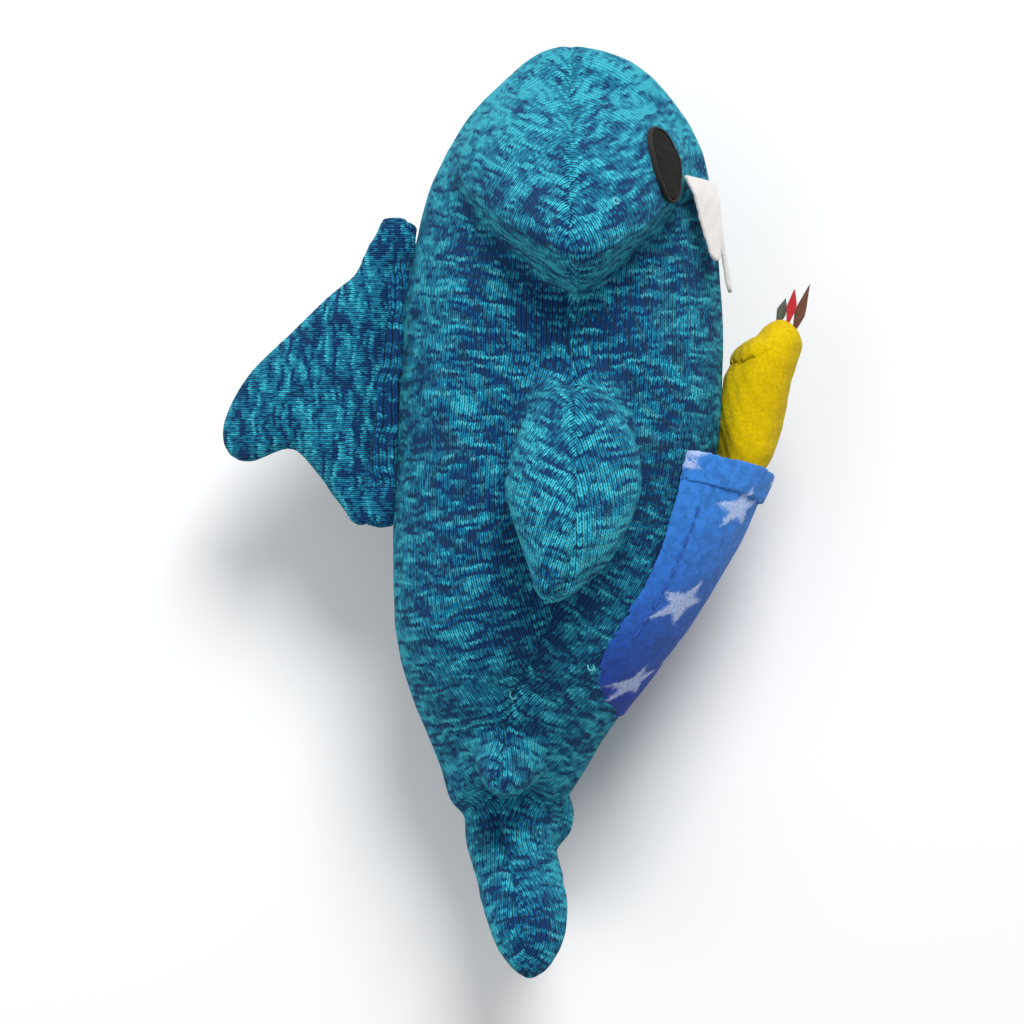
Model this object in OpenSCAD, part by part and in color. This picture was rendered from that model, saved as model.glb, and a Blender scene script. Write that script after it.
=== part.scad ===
// Hammerhead plush shark lying on its left side: X from its back to its belly, Y from its tail to its
// head, Z up through its right side. Sewn knit panels over stuffing, felt teeth and eyes, and a fleece
// belly pocket that holds a small plush toy.

/* [Body] */
// Length of the stuffed torso, from the top of the head to the tail's hinge
torso_length = 312; // [260:1:350]
// Torso's greatest depth, back to belly
torso_depth = 128; // [105:1:152]
// Torso's greatest width, side to side
torso_width = 100; // [84:1:120]
// Height of the torso's middle above the floor, as it lies on its left fins
torso_lift = 72; // [66:1:90]
// How far the body's middle drops towards the tail
tail_drop = 20; // [0:1:24]

/* [Fabric] */
// Thickness of the sweater knit
knit_t = 2.4; // [1.6:0.1:3]
// Thickness of the pocket's fleece
fleece_t = 2; // [1.2:0.1:2.4]
// Thickness of the felt
felt_t = 1.6; // [1:0.1:2]
// Diameter of the sewing thread
thread_d = 0.9; // [0.6:0.1:1.2]

/* [Hammer lobes] */
// Reach of a hammer lobe from the torso's middle plane
hammer_reach = 89; // [76:1:100]
// Depth of a hammer lobe at its root, back to belly
hammer_depth = 94; // [78:1:100]
// Length of a hammer lobe at its root, along the body
hammer_length = 76; // [63:1:90]

/* [Pectoral fins] */
// Reach of the right pectoral fin from the torso's middle plane
pectoral_reach = 90; // [82:1:100]
// Depth of a pectoral fin, back to belly
pectoral_depth = 54; // [45:1:60]
// Length of a pectoral fin along the body
pectoral_length = 78; // [65:1:88]
// How far the pectoral tip is swept towards the tail
pectoral_sweep = 34; // [20:1:42]

/* [Dorsal fin] */
// Height of the dorsal fin from its seam to its tip
dorsal_height = 62; // [52:1:75]
// Length of the dorsal fin's seam
dorsal_base = 122; // [102:1:130]
// Thickness of the stuffed dorsal fin
dorsal_thick = 17; // [14:0.5:20]
// Diameter of the rolled seam at the dorsal fin's foot
dorsal_roll_d = 10; // [8:0.5:12]

/* [Tail] */
// Length of the right fluke past the tail's hinge
tail_length = 57.5; // [48:0.5:69]
// Width of a fluke, side to side
tail_width = 33; // [27:1:39]
// How far the tail bends each way
tail_turn = 18; // [10:1:20]

/* [Face] */
// Height of an eye
eye_height = 29; // [24:1:35]
// Width of an eye
eye_width = 15; // [12:1:18]
// Length of the longer tooth
tooth_length = 42; // [35:1:50]
// Width of a tooth at the gum
tooth_width = 26; // [22:1:31]

/* [Pocket] */
// Height of the pocket, from its foot to its corners
pocket_height = 108; // [90:1:122]
// Width of the pocket across the belly
pocket_width = 70; // [60:1:80]
// How far the pocket's mouth stands off the belly
pocket_gape = 20.5; // [18.5:0.5:24]
// Height of the turned-over hem at the pocket's mouth
hem_height = 11; // [9:0.5:13]

/* [Pocket toy] */
// Thickness of the toy, back to front
toy_thick = 25; // [21:0.5:28]
// Width of the toy, side to side
toy_width = 33; // [28:0.5:38]
// Length of the toy's longest felt tip
toy_tip_length = 18; // [15:0.5:21]

/* [Hidden] */

teal = [0.12, 0.45, 0.56];
floss = [0.93, 0.93, 0.91];
black = [0.07, 0.06, 0.05];
white = [0.86, 0.85, 0.83];
blue = [0.2, 0.4, 0.76];
yellow = [0.86, 0.72, 0.03];
red = [0.68, 0.1, 0.12];
brown = [0.35, 0.22, 0.16];
green = [0.3, 0.36, 0.33];

gap = 0.5;                 // between pieces of different bodies
seam_gap = 0.2;            // between a cover and its stuffing
big = 600;                 // larger than the whole object
around = 32;               // points round the torso
around_fin = 20;           // points round a fin

head_y = 184.5;            // top of the head
hinge_y = head_y - torso_length;
loft_length = torso_length + 14;
// Torso outline: share of the length from the head, x of the back, x of the belly, half width,
// as shares of the depth and the width. It runs on past the tail's hinge and is cut there.
torso_table = [
    [0.000, 0.178, 0.178, 0.000],
    [0.020, 0.034, 0.384, 0.200],
    [0.069, -0.094, 0.509, 0.330],
    [0.118, -0.188, 0.578, 0.405],
    [0.167, -0.250, 0.609, 0.450],
    [0.241, -0.305, 0.643, 0.485],
    [0.321, -0.336, 0.653, 0.500],
    [0.413, -0.348, 0.652, 0.500],
    [0.505, -0.359, 0.629, 0.495],
    [0.597, -0.367, 0.582, 0.480],
    [0.689, -0.367, 0.500, 0.440],
    [0.781, -0.325, 0.383, 0.365],
    [0.842, -0.258, 0.293, 0.290],
    [0.882, -0.215, 0.227, 0.250],
    [0.920, -0.191, 0.166, 0.220],
    [0.957, -0.168, 0.148, 0.195],
    [1.000, -0.140, 0.140, 0.175]
];

// ---- Curves through tables ------------------------------------------------------------------
// Rows run along a cosine, so that a rounded end keeps its roundness between rows.
function along(t) = acos(1 - 2 * min(max(t, 0), 1)) / 180;
function row_of(tab, u, i = 0) = (i >= len(tab) - 2 || u < along(tab[i + 1][0])) ? i : row_of(tab, u, i + 1);
function rise(tab, i, c) =
    let (a = max(i - 1, 0), b = min(i + 1, len(tab) - 1))
    (tab[b][c] - tab[a][c]) / (along(tab[b][0]) - along(tab[a][0]));
function curve_u(tab, u, c) =
    let (
        i = row_of(tab, u),
        u0 = along(tab[i][0]),
        w = along(tab[i + 1][0]) - u0,
        s = (u - u0) / w
    )
    (2 * pow(s, 3) - 3 * s * s + 1) * tab[i][c] + (pow(s, 3) - 2 * s * s + s) * w * rise(tab, i, c)
    + (3 * s * s - 2 * pow(s, 3)) * tab[i + 1][c] + (pow(s, 3) - s * s) * w * rise(tab, i + 1, c);
function curve(tab, t, c) = curve_u(tab, along(t), c);

// ---- Lofts ----------------------------------------------------------------------------------
function side_faces(rings, n) = [
    for (i = [0:rings - 2], j = [0:n - 1])
        let (a = i * n + j, b = i * n + (j + 1) % n)
        each [[a, b, b + n], [a, b + n, a + n]]
];
module loft(rings, flip = false) {
    n = len(rings[0]);
    last = (len(rings) - 1) * n;
    faces = concat([[for (j = [n - 1:-1:0]) j]], side_faces(len(rings), n), [[for (j = [0:n - 1]) last + j]]);
    polyhedron(
        points = [for (r = rings) each r],
        faces = flip ? faces : [for (f = faces) [for (k = [len(f) - 1:-1:0]) f[k]]],
        convexity = 6
    );
}
// A ring square to Y: x from back to belly about the middle, z half width.
function ring_y(x, y, z, back, belly, half, n) = [
    for (j = [0:n - 1])
        let (a = 360 * j / n)
        [x + (cos(a) > 0 ? belly : back) * cos(a), y, z + half * sin(a)]
];
// Leaves the booleans of soft shapes to be worked out as one mesh.
module soft() resize([0, 0, 0]) children();

// ---- Torso ----------------------------------------------------------------------------------
function torso_t(y) = (head_y - y) / loft_length;
function back_x(y) = torso_depth * curve(torso_table, torso_t(y), 1);
function belly_x(y) = torso_depth * curve(torso_table, torso_t(y), 2);
function half_w(y) = torso_width * curve(torso_table, torso_t(y), 3);
function mid_x(y) = (back_x(y) + belly_x(y)) / 2;
function sink(y) = let (s = min(max((-30 - y) / 90, 0), 1)) tail_drop * s * s * (3 - 2 * s);
function mid_z(y) = torso_lift - sink(y);
// x of the belly's surface at a height off the middle plane
function belly_at(y, off) =
    mid_x(y) + (belly_x(y) - mid_x(y)) * sqrt(max(0.02, 1 - pow(off / half_w(y), 2)));

torso_rings = 27;
module torso(inset = 0) {
    kr = 1 - 2 * inset / torso_depth;
    kz = 1 - 2 * inset / torso_width;
    loft([
        for (i = [0:torso_rings])
            let (
                u = 0.012 + 0.988 * i / torso_rings,
                t = (1 - cos(180 * u)) / 2,
                y = head_y - loft_length * t,
                half_d = (belly_x(y) - back_x(y)) / 2
            )
            ring_y(mid_x(y), y - inset * pow(1 - t, 3), mid_z(y),
                   half_d * kr, half_d * kr, half_w(y) * kz, around)
    ]);
}
// The hollow that the tail's round end turns in, and everything past it.
tail_x = mid_x(hinge_y);
tail_z = mid_z(hinge_y);
neck_r = 0.145 * torso_depth;
module tail_hollow(inset = 0) {
    translate([tail_x, hinge_y, -big / 2]) cylinder(r = neck_r + 2 * gap + inset, h = big, $fn = 48);
    translate([-big / 2, hinge_y + neck_r * sin(tail_turn) + 2 * gap + inset - big, -big / 2]) cube(big);
}

// A stuffed lobe that leaves the body along Z (side = 1, the right, or -1, the left) and is swept
// in X and Y as it narrows to a round tip.
// With point above 0 its tail end is drawn out and pinched to a drop.
module lobe(root, from, reach, rx, ry, sweep, taper = 0.55, side = 1, inset = 0, steps = 9, point = 0) {
    top = reach - inset;
    loft([
        for (i = [0:steps])
            let (
                u = sin(88.5 * i / steps),
                k = (1 - taper * pow(u, 1.4)) * sqrt(1 - pow(u, 5)),
                lean = pow(u, 1.3)
            )
            [
                for (j = [0:around_fin - 1])
                    let (a = 360 * j / around_fin, low = point * min(1, 1.7 * u) * max(0, -sin(a)))
                    [
                        root[0] + sweep[0] * lean + max(rx * k - inset, 0.6) * cos(a) * (1 - 0.72 * low),
                        root[1] + sweep[1] * lean + max(ry * k - inset, 0.6) * sin(a) * (1 + 0.3 * low),
                        root[2] + side * (from + (top - from) * u)
                    ]
            ]
    ], flip = side < 0);
}

hammer_y = head_y - 0.17 * torso_length;
hammer_from = 0.2 * torso_width;
module hammer_lobe(side, inset = 0)
    lobe([mid_x(hammer_y), hammer_y, torso_lift], hammer_from, hammer_reach,
         hammer_depth / 2, hammer_length / 2,
         [2, -36], taper = 0.6, side = side, inset = inset, point = 1);

pelvic_y = hinge_y + 38;
pelvic_reach = 0.5 * torso_width;
module pelvic_lobe(side, inset = 0)
    lobe([mid_x(pelvic_y) - 1, pelvic_y, mid_z(pelvic_y)], 4, pelvic_reach, 18, 19,
         [side > 0 ? -5 : 9, -17], taper = 0.5, side = side, inset = inset, steps = 7);

// Torso, hammer lobes and pelvic lobes as one shape, cut flat where it rests on the floor.
module body_form(inset = 0)
    difference() {
        union() {
            difference() {
                torso(inset);
                tail_hollow(inset);
            }
            for (side = [-1, 1]) {
                hammer_lobe(side, inset);
                pelvic_lobe(side, inset);
            }
        }
        translate([tail_x, hinge_y, tail_z - tail_width / 2 - 2])
            cylinder(r = neck_r + 2 * gap + inset, h = tail_width + 4, $fn = 48);
        translate([-big / 2, -big / 2, inset - big]) cube(big);
    }
// Everything on the belly's side of the side seams.
module belly_side(cut = 0) {
    pts = [for (y = [head_y + 5:-8:hinge_y - 5]) [mid_x(min(max(y, hinge_y + 2), head_y - 2)) + cut, y]];
    translate([0, 0, -big / 2]) linear_extrude(big)
        polygon(concat([[big / 2, head_y + 5]], pts, [[big / 2, hinge_y - 20]]));
}
module torso_shell() difference() {
    body_form();
    body_form(knit_t);
}
module torso_back_panel() color(teal) soft() difference() {
    torso_shell();
    belly_side(-seam_gap / 2);
}
module torso_belly_panel() color(teal) soft() intersection() {
    torso_shell();
    belly_side(seam_gap / 2);
}
module torso_stuffing() color(floss) soft() body_form(knit_t + seam_gap);

// ---- Eyes -----------------------------------------------------------------------------------
eye_y = head_y - 53;
eye_turn = 55;             // round the head from the middle of the face
eye_tilt = 11;             // its foot leans to the back
module head_layer(inner, outer) difference() {
    union() {
        torso(-outer);
        for (side = [-1, 1]) hammer_lobe(side, -outer);
    }
    torso(-inner);
    for (side = [-1, 1]) hammer_lobe(side, -inner);
}
module eye_prism(side, grow)
    translate([mid_x(eye_y), eye_y, torso_lift]) rotate([0, -side * eye_turn, 0]) rotate([0, 90, 0])
        rotate([0, 0, -side * eye_tilt]) linear_extrude(big / 4)
        scale([eye_width / 2 + grow, eye_height / 2 + grow]) circle(1, $fn = 32);
module eye(side) color(black) soft() intersection() {
    head_layer(seam_gap, seam_gap + felt_t);
    eye_prism(side, 0);
}
module right_eye() eye(1);
module left_eye() eye(-1);
module eye_stitches() color(black) soft() for (side = [-1, 1]) intersection() {
    head_layer(seam_gap, seam_gap + felt_t + 0.5);
    difference() {
        eye_prism(side, 0.3 + thread_d);
        eye_prism(side, 0.3);
    }
}

// ---- Pectoral fins --------------------------------------------------------------------------
pectoral_y = head_y - 0.54 * torso_length;
pectoral_x = mid_x(pectoral_y) + 7;
right_root = half_w(pectoral_y) + 3 * gap;   // the right fin's foot clears the torso
// Narrow across its crease, so that it can swing, but long along it.
module right_pectoral(inset = 0) {
    high = pectoral_reach - right_root - 2 * inset;
    loft([
        for (i = [0:11])
            let (
                s = (1 - cos(177 * i / 11 + 1.5)) / 2,
                round_end = 180 * pow(s, 0.72),
                kx = pow(sin(round_end), 0.74) * (1 - 0.16 * s),
                ky = pow(sin(round_end), 0.34) * (1 - 0.24 * s)
            )
            [
                for (j = [0:around_fin - 1])
                    let (
                        a = 360 * j / around_fin,
                        low = min(1, 1.6 * s) * max(0, -sin(a)),
                        rx = max(pectoral_depth / 2 * kx - inset, 0.5) * (1 - 0.42 * low),
                        ry = max(pectoral_length / 2 * ky - inset, 0.5) * (1 + 0.16 * low)
                    )
                    [
                        pectoral_x - 9 * s * s - 5 * low * low + rx * cos(a),
                        pectoral_y + 3 - pectoral_sweep * pow(s, 1.25) + ry * sin(a),
                        torso_lift + right_root + inset + high * s
                    ]
            ]
    ]);
}
left_high = torso_lift - half_w(pectoral_y) - 3 * gap; // room between the floor and the torso
module left_pectoral(inset = 0)
    difference() {
        loft([
            for (i = [0:12])
                let (
                    u = (1 - cos(176 * i / 12 + 2)) / 2,
                    k = pow(sin(180 * u), 0.6),
                    y = pectoral_y + pectoral_length / 2 - (pectoral_length + 8) * u
                )
                [
                    for (j = [0:around_fin - 1])
                        let (a = 360 * j / around_fin)
                        [
                            pectoral_x + max((pectoral_depth / 2 + 2) * k - inset, 0.6) * cos(a),
                            y + (u < 0.5 ? -inset : inset),
                            max(left_high * k - inset, 0.6) * sin(a)
                        ]
                ]
        ]);
        translate([-big / 2, -big / 2, inset - big]) cube(big);
    }
module belly_of(x, cut = 0) translate([x + cut, -big / 2, -big / 2]) cube(big);
module pectoral_panel(side, front) color(teal) soft() {
    cut = (front ? 1 : -1) * seam_gap / 2;
    if (front) intersection() {
        pectoral_shell(side);
        belly_of(pectoral_x - 4, cut);
    } else difference() {
        pectoral_shell(side);
        belly_of(pectoral_x - 4, cut);
    }
}
module pectoral_form(side, inset) if (side > 0) right_pectoral(inset); else left_pectoral(inset);
module pectoral_shell(side) difference() {
    pectoral_form(side, 0);
    pectoral_form(side, knit_t);
}
module right_pectoral_back_panel() pectoral_panel(1, false);
module right_pectoral_front_panel() pectoral_panel(1, true);
module right_pectoral_stuffing() color(floss) soft() right_pectoral(knit_t + seam_gap);
module left_pectoral_back_panel() pectoral_panel(-1, false);
module left_pectoral_front_panel() pectoral_panel(-1, true);
module left_pectoral_stuffing() color(floss) soft() left_pectoral(knit_t + seam_gap);

// ---- Dorsal fin -----------------------------------------------------------------------------
dorsal_top_y = head_y - 0.225 * torso_length;
dorsal_foot_y = dorsal_top_y - dorsal_base;
roll_r = dorsal_roll_d / 2;
// The roll's axis is a straight line that just clears the torso's back all the way.
dorsal_lean = atan2(back_x(dorsal_top_y - 20) - back_x(dorsal_foot_y + 20), dorsal_base - 40);
dorsal_x0 = min([for (k = [0:12])
    let (y = dorsal_top_y - dorsal_base * k / 12) back_x(y) + (dorsal_top_y - y) * tan(dorsal_lean)])
    - roll_r / cos(dorsal_lean) - gap;
// Fin outline in its own frame: shares of the height away from the seam, and of the base from its foot.
dorsal_outline = [
    [0.00, 1.00], [0.04, 0.95], [0.094, 0.852], [0.292, 0.762], [0.565, 0.63], [0.79, 0.525],
    [0.924, 0.418], [0.985, 0.311], [0.93, 0.245], [0.82, 0.23], [0.67, 0.262], [0.52, 0.279],
    [0.385, 0.238], [0.21, 0.139], [0.08, 0.04], [0.00, 0.00]
];
function wrap(i, n) = (i % n + n) % n;
function spline_point(p, i, s) =
    let (n = len(p), a = p[wrap(i - 1, n)], b = p[i], c = p[wrap(i + 1, n)], d = p[wrap(i + 2, n)])
    0.5 * (2 * b + (c - a) * s + (2 * a - 5 * b + 4 * c - d) * s * s + (3 * b - a - 3 * c + d) * pow(s, 3));
fin_edge = [for (i = [0:len(dorsal_outline) - 2], s = [0, 0.5])
    let (q = spline_point(dorsal_outline, i, s)) [max(q[0], 0), q[1]]];
fin_middle = [0.32, 0.42];                   // the outline shrinks towards this point
module dorsal_form(inset = 0) {
    // Layers from the right face through the thick middle to the left face
    layers = 8;
    half = dorsal_thick / 2 - inset;
    module place() translate([dorsal_x0 - roll_r - gap, dorsal_top_y - dorsal_base, torso_lift]) children();
    place() loft([
        for (i = [0:layers])
            let (
                w = -cos(180 * i / layers),
                k = 0.42 + 0.58 * pow(1 - pow(abs(w), 2.4), 0.45),
                kx = k - inset / (0.38 * dorsal_height),
                ky = k - inset / (0.38 * dorsal_base)
            )
            [for (q = fin_edge)
                let (
                    fx = fin_middle[0] + (q[0] - fin_middle[0]) * kx,
                    fy = fin_middle[1] + (q[1] - fin_middle[1]) * ky
                )
                [
                    -max(fx, 0.01) * dorsal_height - (dorsal_base - fy * dorsal_base) * tan(dorsal_lean),
                    fy * dorsal_base,
                    w * half
                ]]
    ]);
}
module above_fin(cut = 0) translate([-big / 2, -big / 2, torso_lift + cut]) cube(big);
module dorsal_shell() difference() {
    dorsal_form();
    dorsal_form(knit_t);
}
module dorsal_fin_right_panel() color(teal) soft() intersection() {
    dorsal_shell();
    above_fin(seam_gap / 2);
}
module dorsal_fin_left_panel() color(teal) soft() difference() {
    dorsal_shell();
    above_fin(-seam_gap / 2);
}
module dorsal_fin_stuffing() color(floss) soft() dorsal_form(knit_t + seam_gap);
module dorsal_fin_seam_roll() color(teal)
    translate([dorsal_x0, dorsal_top_y, torso_lift]) rotate([90, 0, -dorsal_lean])
        cylinder(r = roll_r - gap / 2, h = dorsal_base / cos(dorsal_lean), $fn = 40);

// ---- Tail -----------------------------------------------------------------------------------
// Tail outline past the hinge: share of the length, x of the back and of the belly from the hinge as
// shares of the neck, sweep of the middle to the side, half width as a share of the fluke's.
tail_table = [
    [0.00, -1.00, 1.00, 0, 0.92],
    [0.13, -0.98, 1.00, 1.5, 0.96],
    [0.25, -0.86, 1.00, 5, 0.98],
    [0.39, -0.70, 1.12, 10, 1.00],
    [0.53, -0.60, 1.22, 16, 1.00],
    [0.67, -0.44, 1.21, 22, 0.94],
    [0.81, -0.26, 1.15, 27, 0.79],
    [0.94, 0.02, 0.88, 31, 0.50],
    [1.00, 0.38, 0.50, 33, 0.10]
];
module fluke(length, sweep_k, inset) {
    r = neck_r - inset;
    upper = [for (a = [84:-14:14]) ring_y(tail_x, hinge_y + r * sin(a), tail_z, r * cos(a), r * cos(a),
        max(tail_width / 2 * (0.25 + 0.67 * pow(cos(a), 0.6)) - inset, 0.5), around_fin)];
    lower = [for (row = tail_table)
        let (half_x = max((row[2] - row[1]) / 2 * neck_r - inset, 0.5))
        ring_y(tail_x + (row[1] + row[2]) / 2 * neck_r, hinge_y - (length - inset) * row[0],
               tail_z + sweep_k * row[3],
            half_x, half_x, max(tail_width / 2 * row[4] - inset, 0.5), around_fin)];
    loft(concat(upper, lower));
}
module tail_form(inset = 0) difference() {
    union() {
        fluke(tail_length, 1, inset);
        fluke(0.86 * tail_length, -0.9, inset);
    }
    translate([-big / 2, -big / 2, inset - big]) cube(big);
}
module tail_shell() difference() {
    tail_form();
    tail_form(knit_t);
}
module tail_back_panel() color(teal) soft() difference() {
    tail_shell();
    belly_of(tail_x + 1, -seam_gap / 2);
}
module tail_belly_panel() color(teal) soft() intersection() {
    tail_shell();
    belly_of(tail_x + 1, seam_gap / 2);
}
module tail_stuffing() color(floss) soft() tail_form(knit_t + seam_gap);

// ---- Teeth ----------------------------------------------------------------------------------
mouth_y = head_y - 56;
tooth_lean = 9.5;          // tips stand off the face
mouth_turn = 13;           // the mouth's middle is this far round towards the right
gum_off = belly_x(mouth_y) - mid_x(mouth_y) + 2 * gap;
// A felt triangle with a blunt tip, its gum edge along Y and its tip along +X.
module tooth_plate(width, length, tip)
    linear_extrude(felt_t) hull() {
        translate([1, -width / 2 + 1]) circle(1, $fn = 16);
        translate([1, width / 2 - 1]) circle(1, $fn = 16);
        translate([length - tip, 0]) circle(tip, $fn = 24);
    }
// Hangs a plate from the gum: turned round the face, its tip towards the tail and leaning out.
module hanging_tooth(turn, drop, off, width, length, tip) color(white)
    translate([mid_x(mouth_y), mouth_y - drop, torso_lift]) rotate([0, -turn, 0]) translate([off, 0, 0])
        rotate([0, 0, tooth_lean - 90]) rotate([90, 0, 0]) mirror([0, 0, 1]) tooth_plate(width, length, tip);
module right_tooth()
    hanging_tooth(mouth_turn + 19, 0, gum_off + felt_t + 3 * gap, 0.92 * tooth_width, 0.78 * tooth_length, 4);
module left_tooth()
    hanging_tooth(mouth_turn - 4, 1, gum_off, tooth_width, tooth_length, 3.5);

// ---- Pocket ---------------------------------------------------------------------------------
pocket_top_y = head_y - 0.516 * torso_length;
pocket_foot_y = max(pocket_top_y - pocket_height, hinge_y + 0.1 * torso_length); // stays above the tail
pocket_tall = pocket_top_y - pocket_foot_y;
mouth_dip = 10;            // the mouth's middle hangs this much lower than its corners
// Half width of the pocket at a share of its height: straight sides on a round foot
function pocket_half(v) = pocket_width / 2 * (v < 0.3 ? sqrt(max(0.02, 1 - pow(1 - v / 0.3, 2))) : 1);
function pocket_lift(v, w) = pocket_gape * pow(v, 1.15) * pow(max(0, 1 - pow(abs(w), 4)), 0.7);
function pocket_y(v, w) = pocket_foot_y + v * (pocket_tall - mouth_dip * (1 - w * w));
// Point of the pocket's sheet: depth 0 is its inner face
function pocket_point(v, w, depth) =
    let (
        y = pocket_y(v, w),
        off = pocket_half(v) * w
    )
    [belly_at(y, off) + 1.8 * gap + pocket_lift(v, w) + depth * (1 + 0.12 * abs(w)), y, mid_z(y) + off];
// A closed sheet over rows v and columns w, between two depths.
module sheet_of(vs, ws, d0, d1) {
    n = len(ws);
    m = len(vs);
    pts = concat(
        [for (v = vs, w = ws) pocket_point(v, w, d0)],
        [for (v = vs, w = ws) pocket_point(v, w, d1)]
    );
    half = n * m;
    rim = concat(
        [for (j = [0:n - 2]) j], [for (i = [0:m - 2]) i * n + n - 1],
        [for (j = [n - 1:-1:1]) (m - 1) * n + j], [for (i = [m - 1:-1:1]) i * n]
    );
    grid = [
        for (i = [0:m - 2], j = [0:n - 2])
            let (a = i * n + j)
            each [[a, a + 1, a + n + 1], [a, a + n + 1, a + n]]
    ];
    polyhedron(
        points = pts,
        faces = concat(
            [for (f = grid) [f[2], f[1], f[0]]],
            [for (f = grid) [f[0] + half, f[1] + half, f[2] + half]],
            [for (k = [0:len(rim) - 1])
                let (a = rim[k], b = rim[(k + 1) % len(rim)])
                each [[a, b, a + half], [b, b + half, a + half]]]
        ),
        convexity = 6
    );
}
hem_share = hem_height / (pocket_tall - mouth_dip);
pocket_ws = [for (k = [-8:8]) sin(90 * k / 8)];
module pocket_panel() color(blue) soft()
    sheet_of([for (k = [0:14]) 0.015 + 0.985 * k / 14], pocket_ws, 0, fleece_t);
module pocket_hem() color(blue) soft()
    sheet_of([for (k = [0:2]) 1 - hem_share + hem_share * k / 2], pocket_ws, fleece_t + 0.1, 2 * fleece_t);
stitch_pitch = 6;
stitch_long = 3.4;
stitch_count = floor((0.64 - hem_share) * pocket_tall / stitch_pitch);
stitch_off = fleece_t + thread_d / 2 + 0.75;
module pocket_stitches() color(blue)
    for (side = [-1, 1], k = [0:stitch_count - 1]) {
        v = 0.33 + k * stitch_pitch / pocket_tall;
        p = pocket_point(v, side * 0.93, stitch_off);
        q = pocket_point(v + stitch_long / pocket_tall, side * 0.93, stitch_off);
        d = q - p;
        translate(p) rotate([0, acos(d[2] / norm(d)), atan2(d[1], d[0])])
            cylinder(d = thread_d, h = norm(d), $fn = 16);
    }

// ---- Pocket toy -----------------------------------------------------------------------------
// The toy slides out of the pocket along this direction.
mouth_mid_y = pocket_y(1, 0);
thick_k = toy_thick / 25;
wide_k = toy_width / 33;
// Inside the pocket: distance up from its mouth, and half width. Past the mouth: distance up, how far
// the middle stands off the belly, half thickness and half width.
toy_rows_in = [[-70, 5], [-56, 8], [-36, 11], [-15, 13], [0, 14.5]];
toy_rows_out = [
    [9, 12.2, 10.6, 15.5], [21, 13.2, 12, 16], [31, 14, 12.6, 16.5], [39, 15, 12.5, 16.5], [47, 18, 11.4, 16],
    [53, 21.6, 9.4, 14], [58, 23.2, 6.4, 10], [61, 23.6, 3, 5]
];
function sheet_lift(y) =
    let (v = (y - pocket_foot_y) / (pocket_tall - mouth_dip)) pocket_lift(min(max(v, 0), 1), 0);
function toy_mid(up, off) = let (y = mouth_mid_y + up) [belly_x(y) + 1.8 * gap + off, y, mid_z(pocket_top_y)];
module toy_form(inset = 0) {
    rows = concat(
        [for (r = toy_rows_in) let (lift = sheet_lift(mouth_mid_y + r[0]))
            [toy_mid(r[0], 0.5 * lift), 0.5 * lift - gap - 0.4, r[1] * wide_k]],
        [for (r = toy_rows_out) [toy_mid(r[0], r[1] * (0.5 + thick_k / 2)), r[2] * thick_k, r[3] * wide_k]]
    );
    used = [for (r = rows) if (r[1] > inset + 0.3 || inset == 0) r];
    loft([for (r = used)
        let (thick = max(r[1] - inset, 0.5))
        ring_y(r[0][0], r[0][1], r[0][2], thick, thick, max(r[2] - inset, 0.5), 24)],
        flip = true);
}
module toy_cover() color(yellow) soft() difference() {
    toy_form();
    toy_form(1.4);
}
module toy_stuffing() color(floss) soft() toy_form(1.4 + seam_gap);
toy_top = toy_mid(58, 23.2 * (0.5 + thick_k / 2));
toy_crown_y = mouth_mid_y + 61;
// The crown's hem, folded down over the back of the head.
module toy_fold() color(yellow) soft() difference() {
    translate([toy_top[0] - 8, toy_top[1] - 9, toy_top[2]]) rotate([0, 0, 38])
        scale([11.5 * thick_k, 6.5, 15.5 * wide_k] / 10)
        sphere(10, $fn = 24);
    toy_form(-0.15);
    translate(toy_top + [-3, -big / 2, -big / 2]) cube(big);
}
// A pointed felt leaf standing out of the toy's crown.
module felt_tip(at, turn, length, width) translate(at) rotate([0, 0, turn]) translate([0, 0, -felt_t / 2])
    linear_extrude(felt_t)
        polygon([[0, 0], [width / 2, length * 0.35], [0, length], [-width / 2, length * 0.35]]);
crown = [toy_top[0], toy_crown_y + 2.6, toy_top[2]];
module toy_red_tip() color(red) felt_tip(crown + [3.2, 0.6, 2.2], -8, 0.62 * toy_tip_length, 4);
module toy_brown_tip() color(brown) felt_tip(crown + [5.4, -3.2, -0.6], -19, toy_tip_length, 4.4);
module toy_green_tip() color(green) felt_tip(crown + [-0.6, 0.6, -3.2], -18, 0.45 * toy_tip_length, 4);

torso_back_panel();
torso_belly_panel();
torso_stuffing();
right_eye();
left_eye();
eye_stitches();
right_pectoral_back_panel();
right_pectoral_front_panel();
right_pectoral_stuffing();
left_pectoral_back_panel();
left_pectoral_front_panel();
left_pectoral_stuffing();
dorsal_fin_right_panel();
dorsal_fin_left_panel();
dorsal_fin_stuffing();
dorsal_fin_seam_roll();
tail_back_panel();
tail_belly_panel();
tail_stuffing();
right_tooth();
left_tooth();
pocket_panel();
pocket_hem();
pocket_stitches();
toy_cover();
toy_stuffing();
toy_fold();
toy_red_tip();
toy_brown_tip();
toy_green_tip();
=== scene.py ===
import math

import bmesh
import bpy
import numpy as np
from mathutils import Matrix, Vector
from mathutils.bvhtree import BVHTree


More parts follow.
